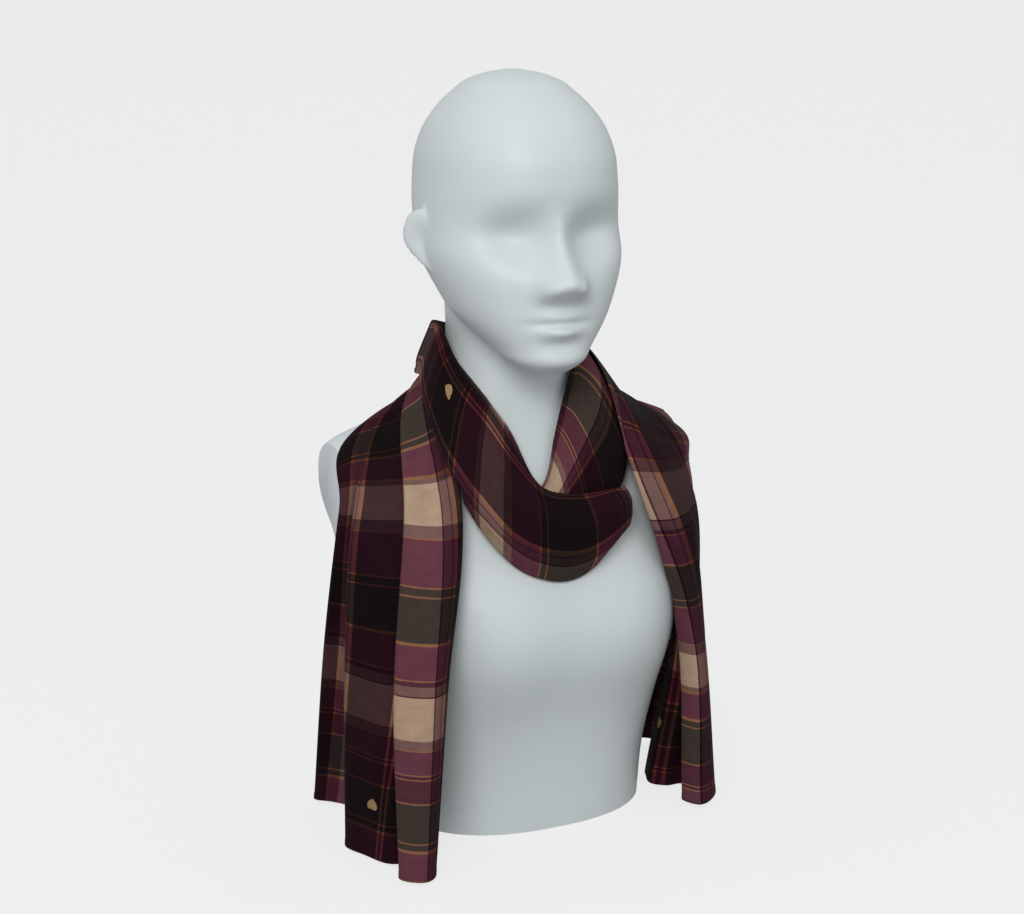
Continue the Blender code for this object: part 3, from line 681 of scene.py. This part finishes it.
def make_ear(side):
    """Shallow dish-shaped ear, joined to the head along its front edge."""
    bm = bmesh.new()
    bmesh.ops.create_uvsphere(bm, u_segments=EAR_SIDES, v_segments=EAR_RINGS, radius=1.0)
    for corner in bm.verts:
        lower = max(EAR_WIDEST - corner.co.z, 0.0) / (1.0 + EAR_WIDEST)
        corner.co.y *= 1.0 - EAR_TAPER * lower ** EAR_TAPER_CURVE
        corner.co.y -= EAR_LOBE_FORWARD * lower ** 2
        outer = math.exp(-EAR_DISH_SHARPNESS * (corner.co.y ** 2 + corner.co.z ** 2))
        if corner.co.x > 0.0:
            corner.co.x -= EAR_DISH * outer
    bmesh.ops.scale(bm, vec=EAR_HALF_SIZE, verts=bm.verts)
    if side < 0.0:
        bmesh.ops.scale(bm, vec=(-1.0, 1.0, 1.0), verts=bm.verts)
        bmesh.ops.reverse_faces(bm, faces=bm.faces)
    flare = Matrix.Rotation(HEAD_TURN + side * EAR_FLARE, 4, "Z")
    turn = flare @ Matrix.Rotation(EAR_LEAN, 4, "X")
    centre = Vector((side * EAR_CENTRE.x, EAR_CENTRE.y, EAR_CENTRE.z))
    place = Matrix.Translation(Matrix.Rotation(HEAD_TURN, 3, "Z") @ centre)
    bmesh.ops.transform(bm, matrix=place @ turn, verts=bm.verts)
    mesh = bpy.data.meshes.new("ear")
    bm.to_mesh(mesh)
    bm.free()
    ear = bpy.data.objects.new("ear", mesh)
    bpy.context.scene.collection.objects.link(ear)
    return ear


def cut_flat(piece, point, normal):
    """Cut away what lies beyond a plane and close the cut with a flat face."""
    bm = bmesh.new()
    bm.from_mesh(piece.data)
    everything = bm.verts[:] + bm.edges[:] + bm.faces[:]
    made = bmesh.ops.bisect_plane(
        bm, geom=everything, plane_co=point, plane_no=normal, clear_outer=True
    )
    edges = [part for part in made["geom_cut"] if isinstance(part, bmesh.types.BMEdge)]
    bmesh.ops.holes_fill(bm, edges=edges, sides=0)
    bm.to_mesh(piece.data)
    bm.free()


def make_bust():
    """Head, neck, ears and torso in one smooth skin, cut flat at the waist and the arms."""
    rings = torso_rings()
    base = [(x, y, -BASE_EXTRA) for x, y, _ in rings[0]]
    bust = ring_loft("bust_skin", [base] + rings)
    head = ring_loft("head", head_rings())
    head.data.transform(Matrix.Rotation(HEAD_TURN, 4, "Z"))
    helpers = [head, make_ear(-1.0), make_ear(1.0)]
    bm = bmesh.new()
    bm.from_mesh(bust.data)
    for helper in helpers:
        bm.from_mesh(helper.data)
    bm.to_mesh(bust.data)
    bm.free()
    for helper in helpers:
        bpy.data.objects.remove(helper, do_unlink=True)
    skin = bust.modifiers.new("Skin", "REMESH")
    skin.mode = "VOXEL"
    skin.voxel_size = SKIN_VOXEL
    soft = bust.modifiers.new("Soft", "SMOOTH")
    soft.factor = SKIN_SOFTNESS
    soft.iterations = SKIN_SMOOTHING
    apply_modifiers(bust)
    cut_flat(bust, (0.0, 0.0, 0.0), (0.0, 0.0, -1.0))
    cut_flat(bust, (ARM_CUT, 0.0, 0.0), (1.0, 0.0, 0.0))
    cut_flat(bust, (-ARM_CUT, 0.0, 0.0), (-1.0, 0.0, 0.0))
    bust.data.shade_smooth()
    corner = bust.modifiers.new("Corners", "EDGE_SPLIT")
    corner.split_angle = SKIN_CORNER
    bust.data.materials.clear()
    bust.data.materials.append(bust_material())
    ride_with_slot(bust)
    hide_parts("bust")
    return bust


def new_material(name):
    """New material, with its node tree and its one shader."""
    finish = bpy.data.materials.new(name)
    finish.use_nodes = True
    tree = finish.node_tree
    return finish, tree, tree.nodes["Principled BSDF"]


def maths(tree, operation, first, second=None):
    """Maths node on sockets or plain numbers."""
    node = tree.nodes.new("ShaderNodeMath")
    node.operation = operation
    for index, value in enumerate((first, second)):
        if value is None:
            continue
        if isinstance(value, (int, float)):
            node.inputs[index].default_value = value
        else:
            tree.links.new(value, node.inputs[index])
    return node.outputs[0]


def noise(tree, vector, grain):
    """Noise value over a coordinate."""
    node = tree.nodes.new("ShaderNodeTexNoise")
    node.inputs["Scale"].default_value = grain.scale
    node.inputs["Detail"].default_value = grain.detail
    node.inputs["Roughness"].default_value = grain.roughness
    tree.links.new(vector, node.inputs["Vector"])
    return node.outputs["Fac"]


def mix_colours(tree, blend, share, first, second):
    """Mix two colours, each a socket or a plain colour."""
    node = tree.nodes.new("ShaderNodeMix")
    node.data_type = "RGBA"
    node.blend_type = blend
    # A mix node lists its number and vector sockets before its colour ones
    sockets = {"Factor": node.inputs[0], "A": node.inputs[6], "B": node.inputs[7]}
    for name, value in (("Factor", share), ("A", first), ("B", second)):
        if isinstance(value, bpy.types.NodeSocket):
            tree.links.new(value, sockets[name])
        else:
            sockets[name].default_value = value
    return node.outputs[2]


def add_bump(tree, shader, height, strength, depth):
    """Fine relief on a shader, from a height value."""
    bump = tree.nodes.new("ShaderNodeBump")
    bump.inputs["Strength"].default_value = strength
    bump.inputs["Distance"].default_value = depth
    tree.links.new(height, bump.inputs["Height"])
    tree.links.new(bump.outputs["Normal"], shader.inputs["Normal"])


def map_range(tree, value, source, result):
    """Node that carries a value from one range to another."""
    node = tree.nodes.new("ShaderNodeMapRange")
    for name, limit in zip(("From Min", "From Max", "To Min", "To Max"), (*source, *result)):
        node.inputs[name].default_value = limit
    tree.links.new(value, node.inputs["Value"])
    return node


def bust_material():
    """Satin paint on cast plastic: cool pale grey, with the faint grain of the mould."""
    finish, tree, shader = new_material("bust_satin_paint")
    place = tree.nodes.new("ShaderNodeTexCoord").outputs["Object"]
    cloudy = noise(tree, place, BUST_CLOUD_GRAIN)
    colour = mix_colours(tree, "MIX", cloudy, BUST_SHADE, BUST_TINT)
    tree.links.new(colour, shader.inputs["Base Color"])
    grain = noise(tree, place, BUST_MOULD_GRAIN)
    gloss = maths(tree, "MULTIPLY_ADD", grain, BUST_ROUGHNESS_RANGE)
    gloss.node.inputs[2].default_value = BUST_ROUGHNESS
    tree.links.new(gloss, shader.inputs["Roughness"])
    add_bump(tree, shader, grain, BUST_BUMP_STRENGTH, BUST_BUMP_DEPTH)
    shader.inputs["Specular IOR Level"].default_value = BUST_GLOSS
    return finish


def stripe_ramp(tree, place, stripes, period):
    """Colours of one set of yarns along one coordinate, repeated every period."""
    turns = maths(tree, "DIVIDE", place, period)
    share = maths(tree, "FRACT", turns)
    ramp = tree.nodes.new("ShaderNodeValToRGB")
    ramp.color_ramp.interpolation = "CONSTANT"
    stops = ramp.color_ramp.elements
    stops.remove(stops[1])
    stops[0].position = 0.0
    stops[0].color = (*YARNS[stripes[0].yarn], 1.0)
    for stripe in stripes[1:]:
        stop = stops.new(stripe.start / period)
        stop.color = (*YARNS[stripe.yarn], 1.0)
    tree.links.new(share, ramp.inputs["Fac"])
    return ramp.outputs["Color"]


def within_repeat(tree, place, period):
    """How far a place lies along its own repeat."""
    share = maths(tree, "FRACT", maths(tree, "DIVIDE", place, period))
    return maths(tree, "MULTIPLY", share, period)


def heart_mask(tree, across, along):
    """One where a small heart is printed, in every second dark check of every second column."""
    column = within_repeat(tree, across, HEART_REPEATS * WARP_PERIOD)
    row = within_repeat(tree, along, HEART_REPEATS * WEFT_PERIOD)
    column = maths(tree, "SUBTRACT", column, HEART_ACROSS)
    row = maths(tree, "SUBTRACT", row, HEART_ALONG)
    x = maths(tree, "DIVIDE", column, HEART_SIZE)
    y = maths(tree, "DIVIDE", row, -HEART_SIZE)
    xx = maths(tree, "MULTIPLY", x, x)
    yy = maths(tree, "MULTIPLY", y, y)
    body = maths(tree, "SUBTRACT", maths(tree, "ADD", xx, yy), 1.0)
    cube = maths(tree, "MULTIPLY", body, maths(tree, "MULTIPLY", body, body))
    cleft = maths(tree, "MULTIPLY", xx, maths(tree, "MULTIPLY", yy, y))
    return maths(tree, "LESS_THAN", maths(tree, "SUBTRACT", cube, cleft), 0.0)


def scarf_material():
    """Plaid cloth: crossed sets of yarns multiplied together, with slubs, weave and soft sheen."""
    finish, tree, shader = new_material("scarf_plaid_cloth")
    flat = tree.nodes.new("ShaderNodeUVMap")
    flat.uv_map = "flat"
    split = tree.nodes.new("ShaderNodeSeparateXYZ")
    tree.links.new(flat.outputs["UV"], split.inputs[0])
    wander = noise(tree, flat.outputs["UV"], WANDER_GRAIN)
    shift = maths(tree, "MULTIPLY", maths(tree, "SUBTRACT", wander, 0.5), STRIPE_WANDER)
    across = maths(tree, "ADD", split.outputs["X"], shift)
    along = maths(tree, "ADD", split.outputs["Y"], shift)
    warp = stripe_ramp(tree, across, WARP_STRIPES, WARP_PERIOD)
    weft = stripe_ramp(tree, along, WEFT_STRIPES, WEFT_PERIOD)
    colour = mix_colours(tree, "MULTIPLY", 1.0, warp, weft)
    heart = heart_mask(tree, across, along)
    colour = mix_colours(tree, "MIX", heart, colour, HEART_COLOUR)
    yarns = []
    for stretch in ((1.0, SLUB_STRETCH, 1.0), (SLUB_STRETCH, 1.0, 1.0)):
        scaled = tree.nodes.new("ShaderNodeVectorMath")
        scaled.operation = "MULTIPLY"
        tree.links.new(flat.outputs["UV"], scaled.inputs[0])
        scaled.inputs[1].default_value = stretch
        yarns.append(noise(tree, scaled.outputs[0], SLUB_GRAIN))
    slubs = maths(tree, "ADD", yarns[0], yarns[1])
    cloudy = noise(tree, flat.outputs["UV"], CLOUD_GRAIN)
    slub_tone = maths(tree, "MULTIPLY", slubs, SLUB_SHARE)
    cloud_tone = maths(tree, "MULTIPLY", cloudy, CLOUD_SHARE)
    uneven = maths(tree, "ADD", slub_tone, cloud_tone)
    level = map_range(tree, uneven, UNEVEN_RANGE, TONE_RANGE)
    shade = tree.nodes.new("ShaderNodeCombineColor")
    for channel in range(3):
        tree.links.new(level.outputs["Result"], shade.inputs[channel])
    colour = mix_colours(tree, "MULTIPLY", 1.0, colour, shade.outputs["Color"])
    tree.links.new(colour, shader.inputs["Base Color"])
    shader.inputs["Roughness"].default_value = SCARF_ROUGHNESS
    shader.inputs["Specular IOR Level"].default_value = SCARF_GLOSS
    shader.inputs["Sheen Weight"].default_value = SHEEN
    shader.inputs["Sheen Roughness"].default_value = SHEEN_ROUGHNESS
    shader.inputs["Sheen Tint"].default_value = SHEEN_TINT
    threads = []
    for direction in ("X", "Y"):
        wave = tree.nodes.new("ShaderNodeTexWave")
        wave.bands_direction = direction
        wave.inputs["Scale"].default_value = WEAVE_SCALE
        wave.inputs["Distortion"].default_value = WEAVE_DISTORTION
        wave.inputs["Detail Scale"].default_value = WEAVE_DETAIL_SCALE
        tree.links.new(flat.outputs["UV"], wave.inputs["Vector"])
        threads.append(wave.outputs["Fac"])
    weave = maths(tree, "MULTIPLY", threads[0], threads[1])
    height = maths(tree, "ADD", weave, maths(tree, "MULTIPLY", cloudy, CLOUD_HEIGHT))
    add_bump(tree, shader, height, SCARF_BUMP_STRENGTH, SCARF_BUMP_DEPTH)
    return finish


def path_lengths(grid, axis):
    """Mean length along one axis of a grid, at each of its lines."""
    steps = np.linalg.norm(np.diff(grid, axis=axis), axis=2).mean(axis=1 - axis)
    return np.concatenate(([0.0], np.cumsum(steps)))


def add_creases(grid, creases):
    """Press soft creases into a grid along its normals: a crest (+) or a trough (-) each."""
    along = path_lengths(grid, 0)
    across = path_lengths(grid, 1)
    run = np.gradient(grid, axis=0)
    fold = np.gradient(grid, axis=1)
    normals = np.cross(fold, run)
    normals /= np.linalg.norm(normals, axis=2, keepdims=True)
    there = np.stack(np.meshgrid(along, across, indexing="ij"), axis=2)
    lift = np.zeros(grid.shape[:2])
    for crease in creases:
        start = np.array((crease.from_along * along[-1], crease.from_across * across[-1]))
        end = np.array((crease.to_along * along[-1], crease.to_across * across[-1]))
        line = end - start
        share = np.clip(((there - start) @ line) / (line @ line), 0.0, 1.0)
        away = np.linalg.norm(there - start - share[..., None] * line, axis=2)
        fade = CREASE_END_SHARE + (1.0 - CREASE_END_SHARE) * np.sin(math.pi * share)
        lift += crease.depth * fade * np.exp(-((away / crease.half_width) ** 2))
    return grid + lift[..., None] * normals


def make_cloth(name, node, grid, flat, finish, shown):
    """Thin cloth about a grid of points, with its place in the flat strip at each point."""
    long_count, wide_count = grid.shape[:2]
    faces = []
    for row in range(long_count - 1):
        for column in range(wide_count - 1):
            corner = row * wide_count + column
            faces.append((corner, corner + 1, corner + wide_count + 1, corner + wide_count))
    cloth = linked_mesh(name, grid.reshape(-1, 3), faces)
    places = flat.reshape(-1, 2)
    corners = np.empty(len(cloth.data.loops), dtype=np.int32)
    cloth.data.loops.foreach_get("vertex_index", corners)
    chart = cloth.data.uv_layers.new(name="flat")
    chart.data.foreach_set("uv", places[corners].ravel())
    hem = cloth.vertex_groups.new(name="thickness")
    along = path_lengths(grid, 0)
    across = path_lengths(grid, 1)
    for row in range(long_count):
        for column in range(wide_count):
            edge = min(across[column], across[-1] - across[column])
            if shown.hem_end:
                edge = min(edge, along[row])
            weight = 1.0 if edge < HEM_WIDTH else PLAIN_SHARE
            hem.add([row * wide_count + column], weight, "REPLACE")
    wall = cloth.modifiers.new("Wall", "SOLIDIFY")
    wall.thickness = HEM_THICKNESS
    wall.offset = 0.0
    wall.use_even_offset = False
    wall.vertex_group = "thickness"
    cloth.data.materials.append(finish)
    ride_with_slot(cloth)
    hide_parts(node)
    return cloth


def surface_tree(piece):
    """Search tree over a finished piece."""
    bpy.context.view_layer.update()
    return BVHTree.FromObject(piece, bpy.context.evaluated_depsgraph_get())


def tail_flat(rows, grid, hem_chart, direction):
    """Place in the flat strip of each point of a tail, from its folds' own figures."""
    along = path_lengths(grid, 0)
    steps = np.linspace(0.0, len(rows) - 1.0, grid.shape[1])
    flats = [(row.hem_flat, row.waist_flat, row.chest_flat, row.chest_flat) for row in rows]
    across = [np.interp(steps, np.arange(len(rows)), flat) for flat in np.array(flats).T]
    knots = (0.0, WAIST_HEIGHT, CHEST_HEIGHT, along[-1])
    spread = blend_through(knots, across, along) * MM
    lengths = (hem_chart * MM + direction * along)[:, None] + np.zeros_like(spread)
    return np.stack((spread, lengths), axis=2)


def band_flat(rows, grid, front_places, collar_places):
    """Place in the flat strip of each point of a band round the neck."""
    angles = [row.angle for row in rows]
    order = 1.0 if angles[-1] > angles[0] else -1.0
    steps = np.linspace(order * angles[0], order * angles[-1], grid.shape[0])
    flats = [row.flat for row in rows]
    lengths = blend_through([order * angle for angle in angles], flats, steps)[:, 0]
    lines = np.linspace(0.0, 1.0, len(front_places))
    across = np.linspace(0.0, 1.0, grid.shape[1])
    front = np.interp(across, lines, front_places)
    collar = np.interp(across, lines, collar_places)
    turns = np.abs(np.radians(steps))
    rise = np.clip((turns - COLLAR_START) / (COLLAR_FULL - COLLAR_START), 0.0, 1.0)[:, None]
    widths = front + (collar - front) * rise * rise * (3.0 - 2.0 * rise)
    return np.stack((widths * MM, np.broadcast_to(lengths[:, None], widths.shape) * MM), axis=2)


def nape_flat(grid, start_chart, end_chart, places):
    """Place in the flat strip of each point of a stretch behind the neck."""
    along = path_lengths(grid, 0) / path_lengths(grid, 0)[-1]
    lengths = (start_chart + (end_chart - start_chart) * along) * MM
    lines = np.linspace(0.0, 1.0, len(places))
    across = np.interp(np.linspace(0.0, 1.0, grid.shape[1]), lines, places) * MM
    return np.stack(np.meshgrid(lengths, across, indexing="ij")[::-1], axis=2)


def make_scarf(bust):
    """The six stretches of the scarf, from the layer next to the neck outwards."""
    finish = scarf_material()
    right_tail = tail_grid(RIGHT_TAIL_ROWS, 1.0, INNER_NAPE_RADIUS, *TAIL_STEPS)
    left_tail = tail_grid(LEFT_TAIL_ROWS, -1.0, OUTER_NAPE_RADIUS, *TAIL_STEPS)
    right_band = band_grid(RIGHT_BAND_ROWS, *RIGHT_BAND_STEPS)
    left_band = band_grid(LEFT_BAND_ROWS, *LEFT_BAND_STEPS)
    inner = nape_grid(RIGHT_BAND_ROWS[-1], INNER_NAPE_RADIUS, 1.0, *NAPE_STEPS)
    outer = nape_grid(LEFT_BAND_ROWS[-1], OUTER_NAPE_RADIUS, -1.0, *NAPE_STEPS)
    stretches = (
        Stretch("nape_inner", inner, nape_flat(inner, *INNER_NAPE_CHART, RIGHT_BAND_PLACES),
                (), Shown(0.070, 0.120, "gathered", False)),
        Stretch("loop_right_band", right_band,
                band_flat(RIGHT_BAND_ROWS, right_band, RIGHT_BAND_PLACES, RIGHT_BAND_PLACES),
                (), Shown(0.085, 0.210, "gathered", False)),
        Stretch("tail_right", right_tail,
                tail_flat(RIGHT_TAIL_ROWS, right_tail, RIGHT_HEM_CHART, 1.0),
                (), Shown(0.300, 0.460, "draped", True)),
        Stretch("nape_outer", outer, nape_flat(outer, *OUTER_NAPE_CHART, LEFT_COLLAR_PLACES),
                ("nape_inner", "tail_right"), Shown(0.070, 0.140, "gathered", False)),
        Stretch("tail_left", left_tail,
                tail_flat(LEFT_TAIL_ROWS, left_tail, LEFT_HEM_CHART, -1.0),
                ("nape_inner", "loop_right_band"), Shown(0.300, 0.460, "draped", True)),
        Stretch("loop_left_band", left_band,
                band_flat(LEFT_BAND_ROWS, left_band, LEFT_BAND_PLACES, LEFT_COLLAR_PLACES),
                ("loop_right_band", "tail_right", "nape_inner"),
                Shown(0.092, 0.265, "gathered", False)),
    )
    bust_tree = surface_tree(bust)
    trees = {}
    for stretch in stretches:
        gap = LAYER_GAP if stretch.beneath else RESTING_GAP
        creases = [crease for crease in CREASES if crease.stretch == stretch.node]
        shaped = add_creases(stretch.grid, creases)
        clear = stand_clear(shaped, gap, bust_tree, [trees[under] for under in stretch.beneath])
        cloth = make_cloth(f"cloth_{stretch.node}", stretch.node, clear, stretch.flat,
                           finish, stretch.shown)
        trees[stretch.node] = surface_tree(cloth)


def make_stage():
    """Pale floor that rises into a pale backdrop, and soft light, most of it from above."""
    profile = [(SWEEP_FRONT, 0.0), (SWEEP_BACK, 0.0)]
    for step in range(1, SWEEP_CURVE_STEPS + 1):
        turn = 0.5 * math.pi * step / SWEEP_CURVE_STEPS
        back = SWEEP_BACK + SWEEP_CURVE * math.sin(turn)
        profile.append((back, SWEEP_CURVE - SWEEP_CURVE * math.cos(turn)))
    profile.append((SWEEP_BACK + SWEEP_CURVE, SWEEP_TOP))
    turn = Matrix.Rotation(CAMERA_TURN[2], 4, "Z")
    sides = (-SWEEP_HALF_WIDTH, SWEEP_HALF_WIDTH)
    corners = [turn @ Vector((x, y, z)) for x in sides for y, z in profile]
    count = len(profile)
    faces = [(i, i + 1, count + i + 1, count + i) for i in range(count - 1)]
    sweep = linked_mesh("studio_sweep", corners, faces)
    finish, _, shader = new_material("studio_paper")
    shader.inputs["Base Color"].default_value = (*STAGE_COLOUR, 1.0)
    shader.inputs["Roughness"].default_value = STAGE_ROUGHNESS
    shader.inputs["Specular IOR Level"].default_value = 0.0
    shader.inputs["Emission Color"].default_value = GLOW_COLOUR
    shader.inputs["Emission Strength"].default_value = STAGE_GLOW
    sweep.data.materials.append(finish)
    sweep.visible_diffuse = False
    sweep.visible_glossy = False
    sweep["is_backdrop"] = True
    make_sky()
    for lamp in LAMPS:
        light = bpy.data.lights.new(lamp.name, "AREA")
        light.shape = "DISK"
        light.size = lamp.size
        light.energy = lamp.power
        light.color = lamp.colour
        holder = bpy.data.objects.new(lamp.name, light)
        holder.location = lamp.place
        aim = Vector(lamp.target) - Vector(lamp.place)
        holder.rotation_euler = aim.to_track_quat("-Z", "Y").to_euler()
        bpy.context.scene.collection.objects.link(holder)


def make_sky():
    """Even studio light that is brightest overhead and dim from below."""
    world = bpy.data.worlds.new("studio")
    bpy.context.scene.world = world
    world.use_nodes = True
    tree = world.node_tree
    sky = tree.nodes["Background"]
    place = tree.nodes.new("ShaderNodeTexCoord")
    split = tree.nodes.new("ShaderNodeSeparateXYZ")
    tree.links.new(place.outputs["Generated"], split.inputs[0])
    level = map_range(tree, split.outputs["Z"], (-1.0, 1.0), (SKY_BELOW, SKY_ABOVE))
    level.interpolation_type = "SMOOTHSTEP"
    tree.links.new(level.outputs["Result"], sky.inputs["Strength"])
    sky.inputs["Color"].default_value = SKY_TINT


def make_camera():
    """Camera at the photograph's angle, with everything in focus."""
    data = bpy.data.cameras.new("camera")
    data.lens = CAMERA_LENS
    data.sensor_width = CAMERA_SENSOR
    data.sensor_fit = "HORIZONTAL"
    data.clip_end = CAMERA_FAR
    holder = bpy.data.objects.new("camera", data)
    holder.location = CAMERA_PLACE
    holder.rotation_euler = CAMERA_TURN
    bpy.context.scene.collection.objects.link(holder)
    bpy.context.scene.camera = holder


bpy.context.scene.view_settings.view_transform = "Standard"
make_camera()
make_stage()
make_scarf(make_bust())
{"cad": plain(cad_bounds), "visual": plain(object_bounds())}
